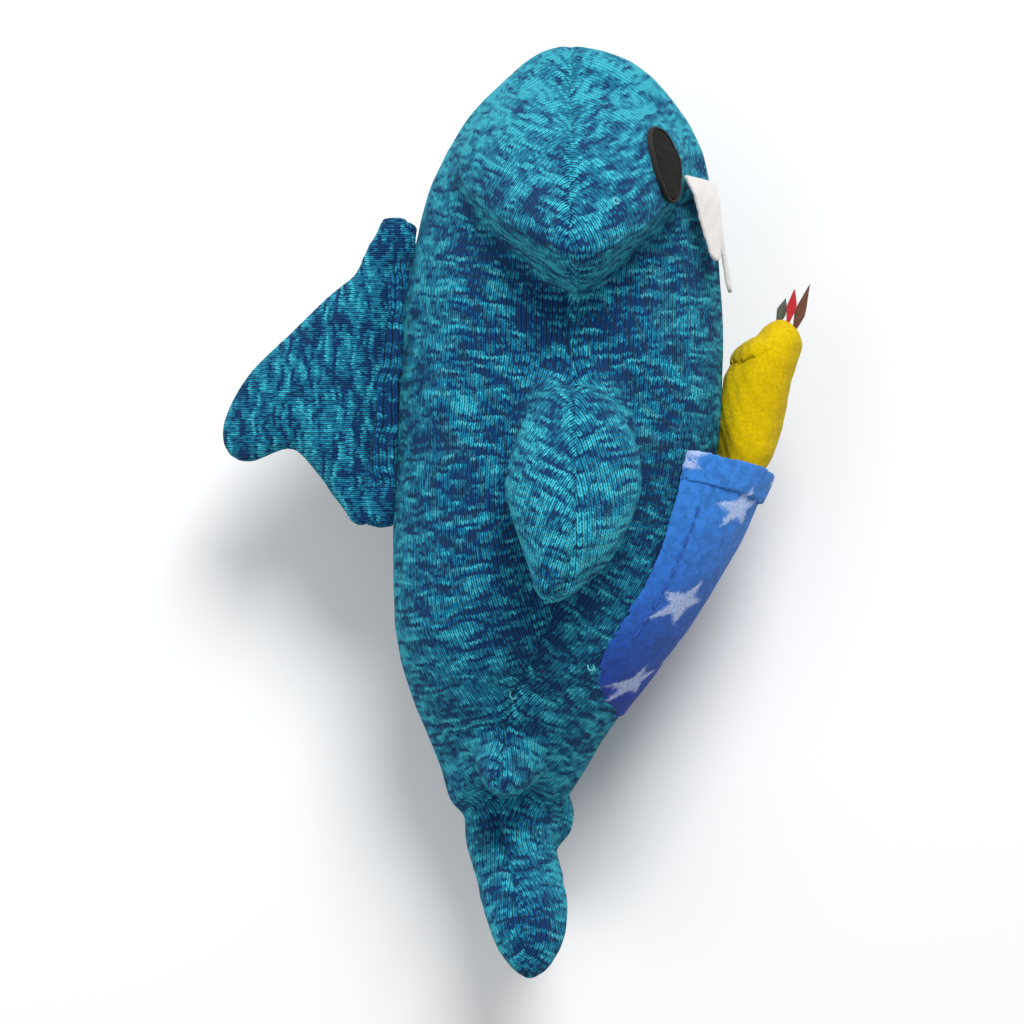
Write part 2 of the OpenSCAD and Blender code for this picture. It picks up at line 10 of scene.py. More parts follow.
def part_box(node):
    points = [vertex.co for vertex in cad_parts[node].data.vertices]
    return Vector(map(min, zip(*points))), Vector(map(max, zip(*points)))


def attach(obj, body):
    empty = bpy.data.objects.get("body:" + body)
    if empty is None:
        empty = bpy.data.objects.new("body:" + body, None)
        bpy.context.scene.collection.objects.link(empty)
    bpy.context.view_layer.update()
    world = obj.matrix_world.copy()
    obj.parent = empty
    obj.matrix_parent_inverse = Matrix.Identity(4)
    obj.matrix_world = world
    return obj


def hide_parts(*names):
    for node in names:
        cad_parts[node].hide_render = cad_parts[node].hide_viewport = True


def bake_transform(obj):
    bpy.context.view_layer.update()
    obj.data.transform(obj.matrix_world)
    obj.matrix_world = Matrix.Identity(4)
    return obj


MM = 0.001
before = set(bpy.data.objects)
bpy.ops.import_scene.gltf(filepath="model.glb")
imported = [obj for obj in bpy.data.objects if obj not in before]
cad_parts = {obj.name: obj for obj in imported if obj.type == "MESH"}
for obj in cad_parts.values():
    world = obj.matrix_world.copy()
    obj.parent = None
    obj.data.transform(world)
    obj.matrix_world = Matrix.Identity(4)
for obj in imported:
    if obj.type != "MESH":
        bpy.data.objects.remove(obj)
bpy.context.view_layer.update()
scene = bpy.context.scene
FLOOR = 0.0004  # soft pieces stop this far above the floor

# ---- Meshes ---------------------------------------------------------------------------------


def link(obj):
    scene.collection.objects.link(obj)
    return obj


def make(name, verts, faces, smooth=True):
    me = bpy.data.meshes.new(name)
    me.from_pydata([tuple(map(float, v)) for v in verts], [], faces)
    me.validate()
    me.polygons.foreach_set("use_smooth", [smooth] * len(me.polygons))
    me.update()
    return link(bpy.data.objects.new(name, me))


def coords(me):
    co = np.zeros(len(me.vertices) * 3)
    me.vertices.foreach_get("co", co)
    return co.reshape(-1, 3)


def set_coords(me, co):
    me.vertices.foreach_set("co", co.astype(np.float32).ravel())
    me.update()


def normals(me):
    n = np.zeros(len(me.vertices) * 3)
    me.vertices.foreach_get("normal", n)
    return n.reshape(-1, 3)


def apply_all(obj):
    deps = bpy.context.evaluated_depsgraph_get()
    me = bpy.data.meshes.new_from_object(obj.evaluated_get(deps))
    obj.modifiers.clear()
    obj.data = me
    return obj


def copy_nodes(name, nodes, grow=0.0):
    """One mesh made of copies of CAD nodes, each grown outwards."""
    verts, faces = [], []
    for n in nodes:
        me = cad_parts[n].data
        bm = bmesh.new()
        bm.from_mesh(me)
        bmesh.ops.remove_doubles(bm, verts=bm.verts, dist=2e-5)
        bm.normal_update()
        base = len(verts)
        for v in bm.verts:
            verts.append(tuple(v.co + v.normal * grow))
        faces += [[base + v.index for v in f.verts] for f in bm.faces]
        bm.free()
    return make(name, verts, faces)


def remesh(obj, size, smooth=4, factor=0.5):
    m = obj.modifiers.new("r", "REMESH")
    m.mode = "VOXEL"
    m.voxel_size = size
    m.use_smooth_shade = True
    if smooth:
        s = obj.modifiers.new("s", "SMOOTH")
        s.iterations = smooth
        s.factor = factor
    return apply_all(obj)


def ellipsoid(name, at, radii, turn=0.0):
    bm = bmesh.new()
    bmesh.ops.create_uvsphere(bm, u_segments=32, v_segments=16, radius=1)
    me = bpy.data.meshes.new(name)
    bm.to_mesh(me)
    bm.free()
    obj = link(bpy.data.objects.new(name, me))
    me.transform(Matrix.Translation(at) @ Matrix.Rotation(turn, 4, "Z") @ Matrix.Diagonal((*radii, 1)))
    return obj


def join(objs):
    verts, faces = [], []
    for o in objs:
        base = len(verts)
        verts += [tuple(v.co) for v in o.data.vertices]
        faces += [[base + i for i in p.vertices] for p in o.data.polygons]
    name = objs[0].name
    for o in objs:
        bpy.data.objects.remove(o)
    return make(name, verts, faces)


# ---- Shader helpers -------------------------------------------------------------------------


class Nodes:
    """Small wrapper for building a material from expressions."""

    def __init__(self, name):
        self.mat = bpy.data.materials.new(name)
        self.mat.use_nodes = True
        self.tree = self.mat.node_tree
        self.tree.nodes.clear()
        self.out = self.tree.nodes.new("ShaderNodeOutputMaterial")

    def new(self, kind, **props):
        n = self.tree.nodes.new(kind)
        for k, v in props.items():
            setattr(n, k, v)
        return n

    def put(self, socket, value):
        if isinstance(value, bpy.types.NodeSocket):
            self.tree.links.new(value, socket)
        else:
            socket.default_value = value

    def math(self, op, a, b=None, clamp=False):
        n = self.new("ShaderNodeMath", operation=op, use_clamp=clamp)
        self.put(n.inputs[0], a)
        if b is not None:
            self.put(n.inputs[1], b)
        return n.outputs[0]

    def add(self, a, b):
        return self.math("ADD", a, b)

    def sub(self, a, b):
        return self.math("SUBTRACT", a, b)

    def mul(self, a, b):
        return self.math("MULTIPLY", a, b)

    def floor(self, a):
        return self.math("FLOOR", a)

    def fract(self, a):
        return self.math("FRACT", a)

    def abs(self, a):
        return self.math("ABSOLUTE", a)

    def vec(self, x, y=0.0, z=0.0):
        n = self.new("ShaderNodeCombineXYZ")
        for i, v in enumerate((x, y, z)):
            self.put(n.inputs[i], v)
        return n.outputs[0]

    def split(self, v):
        n = self.new("ShaderNodeSeparateXYZ")
        self.put(n.inputs[0], v)
        return n.outputs

    def noise(self, vector, scale, detail=2.0, rough=0.5, distortion=0.0):
        n = self.new("ShaderNodeTexNoise")
        self.put(n.inputs["Vector"], vector)
        n.inputs["Scale"].default_value = scale
        n.inputs["Detail"].default_value = detail
        n.inputs["Roughness"].default_value = rough
        n.inputs["Distortion"].default_value = distortion
        return n.outputs["Fac"]

    def white(self, vector):
        n = self.new("ShaderNodeTexWhiteNoise", noise_dimensions="3D")
        self.put(n.inputs["Vector"], vector)
        return n.outputs["Value"]

    def range(self, v, a, b, c=0.0, d=1.0, smooth=True):
        n = self.new("ShaderNodeMapRange", interpolation_type="SMOOTHSTEP" if smooth else "LINEAR")
        self.put(n.inputs["Value"], v)
        for key, x in (("From Min", a), ("From Max", b), ("To Min", c), ("To Max", d)):
            self.put(n.inputs[key], x)
        return n.outputs["Result"]

    def mix(self, fac, a, b):
        n = self.new("ShaderNodeMix", data_type="RGBA")
        self.put(n.inputs["Factor"], fac)
        for i, c in ((6, a), (7, b)):
            self.put(n.inputs[i], (*c, 1.0) if isinstance(c, tuple) and len(c) == 3 else c)
        return n.outputs[2]

    def attr(self, name):
        return self.new("ShaderNodeAttribute", attribute_name=name).outputs["Fac"]

    def bump(self, height, strength, distance):
        n = self.new("ShaderNodeBump")
        self.put(n.inputs["Height"], height)
        n.inputs["Strength"].default_value = strength
        n.inputs["Distance"].default_value = distance
        return n.outputs["Normal"]

    def cloth(self, color, normal, rough, sheen, sheen_tint, spec):
        b = self.new("ShaderNodeBsdfPrincipled")
        self.put(b.inputs["Base Color"], color)
        self.put(b.inputs["Roughness"], rough)
        b.inputs["Specular IOR Level"].default_value = spec
        b.inputs["Sheen Weight"].default_value = sheen
        b.inputs["Sheen Roughness"].default_value = 0.6
        b.inputs["Sheen Tint"].default_value = (*sheen_tint, 1.0)
        self.put(b.inputs["Normal"], normal)
        self.tree.links.new(b.outputs[0], self.out.inputs["Surface"])
        return self.mat


def srgb(r, g, b):
    """A screen colour as the linear one that shaders take."""

    def f(c):
        c /= 255
        return c / 12.92 if c <= 0.04045 else ((c + 0.055) / 1.055) ** 2.4

    return (f(r), f(g), f(b))


WALE = 1.92  # mm between stitch columns
COURSE = 1.45  # mm between stitch rows
DASH_LENGTH = 11.0  # mm that a run of one colour goes on along a row
DASH_HEIGHT = 2.4  # mm up the cloth
NAVY, MID_TEAL, PALE_TEAL = srgb(12, 54, 104), srgb(22, 118, 154), srgb(62, 190, 210)
FUZZ_TEAL = srgb(96, 196, 214)
SHEEN_TEAL = srgb(150, 215, 230)


def knit_material():
    """Space-dyed sweater knit, drawn stitch by stitch in the coordinates of the cloth laid flat, with painted
    light and shade.
    """
    n = Nodes("knit")
    uv = n.new("ShaderNodeUVMap", uv_map="cloth").outputs[0]
    pos = n.new("ShaderNodeTexCoord").outputs["Object"]
    u, v, _ = n.split(uv)  # metres
    # Hand-sewn cloth never lies quite straight
    wob = n.noise(pos, 28.0, 1.0)
    wob2 = n.noise(n.vec(n.add(u, 3.1), v, 0.0), 90.0, 1.0)
    um = n.add(n.mul(u, 1000.0 / WALE), n.mul(n.sub(wob, 0.5), 2.4))
    vm = n.add(n.mul(v, 1000.0 / COURSE), n.mul(n.sub(wob2, 0.5), 3.0))
    col = n.floor(um)
    fx = n.sub(n.fract(um), 0.5)
    ax = n.abs(fx)
    jitter = n.mul(n.white(n.vec(col, 7.0)), 0.35)
    slant = n.add(n.sub(vm, n.mul(ax, 1.35)), jitter)
    row = n.floor(slant)
    fy = n.sub(n.fract(slant), 0.5)
    # One leg of a stitch is a slanted bead on each side of its column
    across = n.math("POWER", n.abs(n.mul(n.sub(ax, 0.25), 4.0)), 2.0)
    along = n.math("POWER", n.abs(n.mul(fy, 2.0)), 2.6)
    leg = n.math("SUBTRACT", 1.0, n.add(n.mul(across, 0.9), n.mul(along, 0.55)), clamp=True)
    leg = n.math("POWER", leg, 0.6)
    ply = n.noise(n.vec(n.mul(n.add(um, n.mul(fy, 0.5)), 6.0), n.mul(vm, 2.2), 0.0), 1.0, 2.0, 0.6)
    # Space-dyed yarn: each row carries its own run of dark and light dashes
    leg_col = n.add(col, n.mul(n.math("SIGN", fx), 0.25))
    q = n.vec(n.mul(leg_col, WALE / DASH_LENGTH), n.mul(row, COURSE / DASH_HEIGHT))
    run = n.noise(q, 1.0, 2.0, 0.62)
    q2 = n.vec(n.mul(col, WALE / 26.0), n.mul(row, COURSE / 9.0), 4.0)
    patch = n.noise(q2, 1.0, 1.0, 0.5)
    speck = n.white(n.vec(col, row, n.math("SIGN", fx)))
    painted_light_and_shade = n.attr("shade")
    tone = n.add(n.add(n.mul(run, 0.80), n.mul(patch, 0.26)), n.mul(n.sub(speck, 0.5), 0.11))
    # Painted light and shade from the "shade" attribute shifts the tone: paler where painted lit, darker where
    # painted in shade
    tone = n.add(tone, n.mul(n.sub(painted_light_and_shade, 0.5), 0.24))
    light = n.range(tone, 0.445, 0.535)
    bright = n.range(tone, 0.535, 0.665)
    color = n.mix(light, NAVY, MID_TEAL)
    color = n.mix(n.mul(bright, 0.9), color, PALE_TEAL)
    # Painted shade and highlight: each stitch's legs are painted bright along their crowns and dark in the
    # gaps round them, and its plies show as lighter and darker streaks
    shade = n.range(leg, 0.0, 0.75, 0.34, 1.14)
    shade = n.mul(shade, n.range(ax, 0.26, 0.5, 1.0, 0.28))
    shade = n.mul(shade, n.range(ply, 0.3, 0.7, 0.82, 1.14))
    shaded = n.new("ShaderNodeVectorMath", operation="SCALE")
    n.put(shaded.inputs[0], color)
    n.put(shaded.inputs[3], shade)
    fuzz = n.noise(n.vec(n.mul(um, 1.4), n.mul(vm, 1.4), 2.0), 3.0, 3.0, 0.7)
    color = n.mix(n.range(fuzz, 0.58, 0.85, 0.0, 0.16), shaded.outputs[0], FUZZ_TEAL)
    height = n.add(n.mul(leg, 1.0), n.mul(ply, 0.25))
    nrm = n.bump(height, 0.9, 0.0007)
    return n.cloth(color, nrm, rough=0.9, sheen=0.10, sheen_tint=SHEEN_TEAL, spec=0.08)


# ---- Stuffed knit body ----------------------------------------------------------------------

COVER_GROWTH = 0.0031  # metres from the stuffing to the outside of the knit
BODY_VOXEL = 0.0026
MID_Z = 0.072  # height of the body's middle as it lies
SEAM_BLUR = 0.006
# The side seam's way from the tail (first) to the head, as (y, x) in metres
SEAM = [
    (-0.190, 0.0065), (-0.184, 0.0065), (-0.162, 0.0030), (-0.142, -0.0010),
    (-0.128, -0.0060), (-0.118, -0.0065), (-0.092, -0.0045), (-0.070, 0.0020),
    (-0.045, 0.0140), (-0.020, 0.0225), (0.016, 0.0240), (0.050, 0.0232),
    (0.085, 0.0205), (0.105, 0.0205), (0.153, 0.0222), (0.190, 0.0232),
]


def seam_x(y):
    """Where the side seam is at each y, its corners rounded by averaging nearby points."""
    ys, xs = zip(*SEAM)
    steps = (-1.5, -0.75, 0, 0.75, 1.5)
    return sum(np.interp(np.asarray(y) + d * SEAM_BLUR, ys, xs) for d in steps) / 5


def build_body():
    """The stuffing of every lobe, grown to the cloth's outside and run together at the joints."""
    stuffing = [n + "_stuffing" for n in ("torso", "right_pectoral", "left_pectoral", "tail")]
    body = join([
        copy_nodes("torso_skin", stuffing, COVER_GROWTH),
        ellipsoid("right_fin_root", (0.0239, 0.022, 0.1195), (0.023, 0.038, 0.013)),
        ellipsoid("left_fin_root", (0.0239, 0.010, 0.0215), (0.016, 0.030, 0.008)),
        ellipsoid("tail_root", (-0.0015, -0.118, 0.052), (0.0185, 0.016, 0.0165)),
        ellipsoid("far_pelvic_lobe", (0.0155, -0.1250, 0.040), (0.0105, 0.0135, 0.012)),
    ])
    remesh(body, BODY_VOXEL, 4, 0.5)
    me = body.data
    co = coords(me)
    # Rest on the floor: soft flats where the lobes press down
    co[:, 2] = np.maximum(co[:, 2], FLOOR)
    set_coords(me, co)
    return body


def cut_seam(me):
    """Snaps a clean edge loop onto the side seams, where the back and belly panels meet."""
    co = coords(me)
    grid = np.linspace(-0.2, 0.2, 801)
    at = lambda y: np.interp(y, grid, seam_x(grid))
    x = co[:, 0] - at(co[:, 1])
    x[np.abs(x) < 0.0008] = 0.0
    co[:, 0] = x
    set_coords(me, co)
    bm = bmesh.new()
    bm.from_mesh(me)
    everything = bm.verts[:] + bm.edges[:] + bm.faces[:]
    bmesh.ops.bisect_plane(bm, geom=everything, dist=1e-6, plane_co=(0, 0, 0), plane_no=(1, 0, 0))
    for e in bm.edges:
        e.seam = abs(e.verts[0].co.x) < 2e-6 and abs(e.verts[1].co.x) < 2e-6
    bm.to_mesh(me)
    bm.free()
    co = coords(me)
    co[:, 0] += at(co[:, 1])
    set_coords(me, co)


def unwrap(obj, side_of):
    """Lays each panel out flat, as it was cut, and turns it so that the cloth's columns run head to tail."""
    me = obj.data
    me.uv_layers.new(name="cloth")
    bpy.ops.object.select_all(action="DESELECT")
    obj.select_set(True)
    bpy.context.view_layer.objects.active = obj
    bpy.ops.object.mode_set(mode="EDIT")
    bpy.ops.mesh.select_all(action="SELECT")
    bpy.ops.uv.unwrap(method="MINIMUM_STRETCH", margin=0.0)
    bpy.ops.object.mode_set(mode="OBJECT")
    n = len(me.loops)
    uv = np.zeros(n * 2)
    me.uv_layers["cloth"].data.foreach_get("uv", uv)
    uv = uv.reshape(-1, 2)
    vi = np.zeros(n, int)
    me.loops.foreach_get("vertex_index", vi)
    co = coords(me)
    fc = np.zeros(len(me.polygons), int)
    me.polygons.foreach_get("loop_total", fc)
    centre = np.zeros(len(me.polygons) * 3)
    me.polygons.foreach_get("center", centre)
    centre = centre.reshape(-1, 3)
    area = np.zeros(len(me.polygons))
    me.polygons.foreach_get("area", area)
    start = np.zeros(len(me.polygons), int)
    me.polygons.foreach_get("loop_start", start)
    side = side_of(centre)
    loop_side = np.repeat(side, fc)
    for s in np.unique(side):
        m = loop_side == s
        z = uv[m, 0] + 1j * uv[m, 1]
        tgt = (co[vi[m], 2] - MID_Z) * (1 if s else -1) + 1j * co[vi[m], 1]
        best = None
        for zz in (z, np.conj(z)):
            zc, tc = zz - zz.mean(), tgt - tgt.mean()
            a = (np.conj(zc) @ tc) / (np.conj(zc) @ zc)
            err = np.abs(tc - a * zc).sum()
            if best is None or err < best[0]:
                best = (err, zz, a)
        _, zz, a = best
        uv2 = np.zeros((n, 2))
        uv2[m, 0], uv2[m, 1] = zz.real, zz.imag
        flat = 0.0
        for i in np.nonzero(side == s)[0]:
            q = uv2[start[i] : start[i] + fc[i]]
            flat += abs(np.sum(q[:, 0] * np.roll(q[:, 1], -1) - q[:, 1] * np.roll(q[:, 0], -1))) / 2
        k = math.sqrt(area[side == s].sum() / flat)
        w = zz * (a / abs(a)) * k
        uv[m, 0], uv[m, 1] = w.real + (0.5 if s else 0.0), w.imag
    me.uv_layers["cloth"].data.foreach_set("uv", uv.ravel())


def subdivide(obj, levels):
    """Rounds a skin and keeps its panels' outlines in the flat layout."""
    m = obj.modifiers.new("sub", "SUBSURF")
    m.levels = m.render_levels = levels
    m.uv_smooth = "PRESERVE_BOUNDARIES"
    m.boundary_smooth = "ALL"
    return apply_all(obj)


def split_up(obj, regions):
    """Cuts a skin into pieces at its joints, keeping the shading whole across each cut."""
    me = obj.data
    layer = me.attributes.new("whole", "FLOAT_VECTOR", "POINT")
    layer.data.foreach_set("vector", normals(me).astype(np.float32).ravel())
    centre = np.zeros(len(me.polygons) * 3)
    me.polygons.foreach_get("center", centre)
    owner = np.zeros(len(me.polygons), int)
    for i, (name, pick) in enumerate(regions):
        owner[pick(centre.reshape(-1, 3))] = i + 1
    pieces = []
    names = [obj.name] + [r[0] for r in regions]
    bpy.data.objects.remove(obj)
    for i, name in enumerate(names):
        bm = bmesh.new()
        bm.from_mesh(me)
        bm.faces.ensure_lookup_table()
        bmesh.ops.delete(bm, geom=[f for f, o in zip(bm.faces, owner) if o != i], context="FACES")
        new = bpy.data.meshes.new(name)
        bm.to_mesh(new)
        bm.free()
        for m in me.materials:
            new.materials.append(m)
        n = np.zeros(len(new.vertices) * 3, np.float32)
        new.attributes["whole"].data.foreach_get("vector", n)
        new.attributes.remove(new.attributes["whole"])
        new.normals_split_custom_set_from_vertices([tuple(v) for v in n.reshape(-1, 3).tolist()])
        pieces.append(link(bpy.data.objects.new(name, new)))
    return pieces


# Where a lobe's end pulls the cloth in: x, y, depth and radius in mm
PULLS = [(22.2, 153, 2.6, 6), (1.0, -72, 2.6, 8), (23, 84, 1.6, 8), (23, 50, 1.8, 7)]


def seam_relief(body):
    """Sewn seams sink into the stuffing and pull small puckers beside them, and the painted light and shade
    that the knit reads is stored here too.
    """
    me = body.data
    co, n = coords(me), normals(me)
    d = np.abs(co[:, 0] - seam_x(co[:, 1])) * 1000
    side = np.abs(n[:, 2])
    y, z = co[:, 1] * 1000, co[:, 2] * 1000
    run = y + 0.8 * z
    groove = -1.25 * np.exp(-((d / 1.5) ** 2)) + 0.45 * np.exp(-(((d - 3.6) / 2.2) ** 2))
    pucker = 0.34 * np.sin(run / 6.3 * 2 * np.pi / 1.9 + 1.7 * np.sin(run / 23)) * np.exp(-d / 5.5)
    move = (groove + pucker) * np.clip(side * 1.6, 0, 1)
    x = co[:, 0] * 1000
    for px, py, depth, r in PULLS:
        away = ((x - px) / r) ** 2 + ((y - py) / r) ** 2
        near = z > 90 if py > -60 else z > 60
        move -= depth * np.exp(-away) * near
    soft = 0.9 * np.sin(y / 17 + 1.3 * np.sin(x / 21)) * np.sin(x / 15 + z / 26)
    soft += 0.45 * np.sin(y / 7.5 + x / 9 + 1.2 * np.sin(z / 9))
    move += 0.6 * soft
    co = co + n * (move * MM)[:, None]
    co[:, 2] = np.maximum(co[:, 2], FLOOR)
    set_coords(me, co)
    # Painted light and shade, as the light falls: the bare edges where the cloth turns sideways, the lobe
    # tips, the head and the tail end are painted paler, and the middle of the flank is painted darker
    lobe = np.clip((np.abs(z - 72) - 48) / 30, 0, 1) * np.where(y > 70, 0.15, 1.0)
    head = np.clip((y - 112) / 45, 0, 1)
    rear = np.clip((-40 - y) / 40, 0, 1)
    edge = np.clip(1 - np.abs(n[:, 2]), 0, 1)
    shade = 0.32 + 0.07 * rear + 0.30 * head + 0.24 * lobe + 0.36 * edge
    shade += 0.05 * np.sin(x / 13 + y / 19)
    layer = me.attributes.new("shade", "FLOAT", "POINT")
    layer.data.foreach_set("value", shade.astype(np.float32))


def wave(co, *terms):
    """Sum of slow sines, for cloth and hand-made shapes that are never quite even."""
    out = np.zeros(len(co))
    for amp, kx, ky, kz, ph in terms:
        out += amp * np.sin(co[:, 0] * kx + co[:, 1] * ky + co[:, 2] * kz + ph)
    return out


def box_uv(obj, fn, name="cloth"):
    """Gives each point the flat position that fn works out from its place."""
    me = obj.data
    co = coords(me)
    vi = np.zeros(len(me.loops), int)
    me.loops.foreach_get("vertex_index", vi)
    uv = fn(co)[vi]
    layer = me.uv_layers.new(name=name) if name not in me.uv_layers else me.uv_layers[name]
    layer.data.foreach_set("uv", uv.astype(np.float32).ravel())


def constant(me, name, values):
    """Stores one number a point, for a material to read."""
    layer = me.attributes.new(name, "FLOAT", "POINT")
    layer.data.foreach_set("value", values.astype(np.float32))


body = build_body()
cut_seam(body.data)
unwrap(body, lambda c: (c[:, 0] > seam_x(c[:, 1])).astype(int))
subdivide(body, 2)
seam_relief(body)
knit = knit_material()
body.data.materials.append(knit)
Z_RIGHT, Z_LEFT, Y_TAIL = 0.1245, 0.0195, -0.1215
near_fin = lambda c: (c[:, 1] > -0.060) & (c[:, 1] < 0.066) & (c[:, 0] > -0.03) & (c[:, 0] < 0.075)
torso, right_fin, left_fin, tail = split_up(body, [
    ("right_pectoral_skin", lambda c: near_fin(c) & (c[:, 2] > Z_RIGHT)),
    ("left_pectoral_skin", lambda c: near_fin(c) & (c[:, 2] < Z_LEFT)),
    ("tail_skin", lambda c: c[:, 1] < Y_TAIL),
])
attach(torso, "shark")
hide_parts("torso_back_panel", "torso_belly_panel", "torso_stuffing")
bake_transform(right_fin)
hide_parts("right_pectoral_back_panel", "right_pectoral_front_panel", "right_pectoral_stuffing")
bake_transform(left_fin)
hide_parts("left_pectoral_back_panel", "left_pectoral_front_panel", "left_pectoral_stuffing")
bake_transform(tail)
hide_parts("tail_back_panel", "tail_belly_panel", "tail_stuffing")

# ---- Dorsal fin -----------------------------------------------------------------------------


def build_dorsal():
    fin = join([
        copy_nodes("dorsal_fin_skin", ["dorsal_fin_stuffing"], 0.0030),
        ellipsoid("d1", (-0.0505, 0.1085, 0.072), (0.0065, 0.0115, 0.0062), 0.25),
        ellipsoid("d2", (-0.0565, 0.0030, 0.072), (0.0068, 0.0115, 0.0062), -0.15),
    ])
    remesh(fin, 0.0018, 5, 0.5)
    subdivide(fin, 1)
    me = fin.data
    co, n = coords(me), normals(me)
    y, x, z = co[:, 1] * 1000, co[:, 0] * 1000, co[:, 2] * 1000 - 72
    # The panels' edge seam runs round the outline, and shallow tucks run in from the sewn foot
    rim = np.exp(-((z / 1.1) ** 2)) * (1 - np.clip(np.abs(n[:, 2]) * 1.5, 0, 1))
    base_x = -48.5 - (118 - y) * 0.062
    foot = np.clip(1 - (base_x - x) / 26, 0, 1)
    tucks = 0.55 * np.sin(y / 5.2 + 1.2 * np.sin(y / 17)) * foot**2 * np.clip(np.abs(n[:, 2]) * 1.3, 0, 1)
    sway = 0.7 * np.sin(y / 19 + x / 23) + 0.5 * np.sin(x / 8.5 - y / 12)
    move = -0.9 * rim + tucks + 0.6 * sway
    co = co + n * (move * MM)[:, None]
    for edge, sign in ((0.1165, 1), (-0.0045, -1)):
        over = np.maximum(sign * (co[:, 1] - edge), 0)
        co[:, 1] -= sign * over * 0.7
    # The foot runs right into the roll
    co[:, 0] += 0.0060 * np.clip(1 - (base_x - 3.5 - x) / 14, 0, 1) ** 1.3
    set_coords(me, co)
    # Cut with its stitch columns running out from the body
    box_uv(fin, lambda c: np.stack([c[:, 1] * 1.24 + 0.9 + (c[:, 2] > 0.072) * 0.3, c[:, 0] * 1.05], 1))
    # Painted light and shade: the fin is painted paler where it turns sideways at its edges, and painted
    # darker at its foot, in the crease by the body
    constant(me, "shade", 0.46 + 0.10 * (1 - np.abs(n[:, 2])) - 0.16 * foot**3)
    me.materials.append(knit)
    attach(fin, "dorsal_fin")
    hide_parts("dorsal_fin_right_panel", "dorsal_fin_left_panel", "dorsal_fin_stuffing")

    # Rolled seam at its foot: two soft ridges side by side
    lo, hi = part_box("dorsal_fin_seam_roll")
    r = 0.0048
    top = Vector((hi.x - r, hi.y + 0.0015, 0.072))
    end = Vector((lo.x + r, lo.y + 0.001, 0.072))
    along = (end - top).normalized()
    across = Vector((-along.y, along.x, 0))
    verts, faces, uvs = [], [], []
    rings, sides = 150, 44
    for i in range(rings + 1):
        t = i / rings
        end_share = min(1.0, min(t, 1 - t) / 0.03)
        k = math.sqrt(1 - (1 - end_share) ** 2)  # rounds both ends
        c = top.lerp(end, t)
        c = c + across * (0.0004 * math.sin(t * 31) + 0.0003 * math.sin(t * 67 + 1))
        for j in range(sides):
            a = 2 * math.pi * j / sides
            # two lobes: wide across, pinched in the middle
            px = 6.9 * math.cos(a)
            pinch = 0.34 + 0.66 * min(1.0, (abs(px) / 3.0)) ** 1.1
            pz = 4.5 * math.sin(a) * pinch * (1 + 0.025 * math.sin(t * 47 + (0 if px > 0 else 2)))
            p = c + Vector((0.0013, 0, 0)) + across * (px * k * MM) + Vector((0, 0, pz * k * MM))
            verts.append(p)
            uvs.append((j * 0.62 * MM + 0.2, t * 0.150))
    for i in range(rings):
        for j in range(sides):
            a, b = i * sides + j, i * sides + (j + 1) % sides
            faces.append((a, a + sides, b + sides, b))
    faces.append(tuple(range(sides)))
    faces.append(tuple(rings * sides + j for j in range(sides - 1, -1, -1)))
    roll = make("dorsal_fin_roll", verts, faces)
    bm = bmesh.new()
    bm.from_mesh(roll.data)
    bmesh.ops.recalc_face_normals(bm, faces=bm.faces)
    bm.to_mesh(roll.data)
    bm.free()
    me = roll.data
    layer = me.uv_layers.new(name="cloth")
    for p in me.polygons:
        js = [me.loops[l].vertex_index % sides for l in p.loop_indices]
        wrap = max(js) - min(js) > sides / 2
        for l in p.loop_indices:
            v = me.loops[l].vertex_index
            u0, v0 = uvs[v]
            layer.data[l].uv = (u0 + (sides * 0.62 * MM if wrap and v % sides == 0 else 0), v0)
    # Painted shade: the roll's stored value is low and even, so its cloth is painted darker all over
    constant(me, "shade", np.full(len(me.vertices), 0.26))
    me.materials.append(knit)
    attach(roll, "dorsal_fin")
    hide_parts("dorsal_fin_seam_roll")


build_dorsal()

# ---- Felt, fleece and thread materials ------------------------------------------------------


def felt(name, color, fibre=0.5, rough=0.95, sheen=0.25, vary=0.12):
    n = Nodes(name)
    pos = n.new("ShaderNodeTexCoord").outputs["Object"]
    fine = n.noise(pos, 2600.0, 3.0, 0.7, 0.6)
    wisp = n.noise(pos, 900.0, 4.0, 0.65, 2.2)
    slow = n.noise(pos, 130.0, 2.0)
    dark = tuple(c * (1 - vary * 2.2) for c in color)
    pale = tuple(min(1.0, c * (1 + vary) + 0.004) for c in color)
    c = n.mix(n.range(wisp, 0.35, 0.65), dark, pale)
    c = n.mix(n.range(slow, 0.3, 0.7, 0.0, 0.35), c, color)
    h = n.add(n.mul(fine, 0.6), n.mul(wisp, 0.8))
    return n.cloth(c, n.bump(h, fibre, 0.0004), rough, sheen, (1, 1, 1), 0.1)


def fleece(name, color, dark, sheen=0.45):
    n = Nodes(name)
    pos = n.new("ShaderNodeTexCoord").outputs["Object"]
    pile = n.noise(pos, 1500.0, 4.0, 0.75, 0.8)
    clump = n.noise(pos, 700.0, 3.0, 0.6, 0.5)
    slow = n.noise(pos, 60.0, 2.0)
    c = n.mix(n.range(clump, 0.32, 0.68), dark, color)
    c = n.mix(n.range(pile, 0.5, 0.8, 0.0, 0.35), c, tuple(min(1.0, v * 1.25 + 0.01) for v in color))
    c = n.mix(n.range(slow, 0.35, 0.7, 0.0, 0.25), c, dark)
    h = n.add(n.mul(pile, 0.7), n.mul(clump, 0.9))
    return n.cloth(c, n.bump(h, 0.55, 0.0006), 0.95, sheen, (1.0, 0.98, 0.9), 0.08)


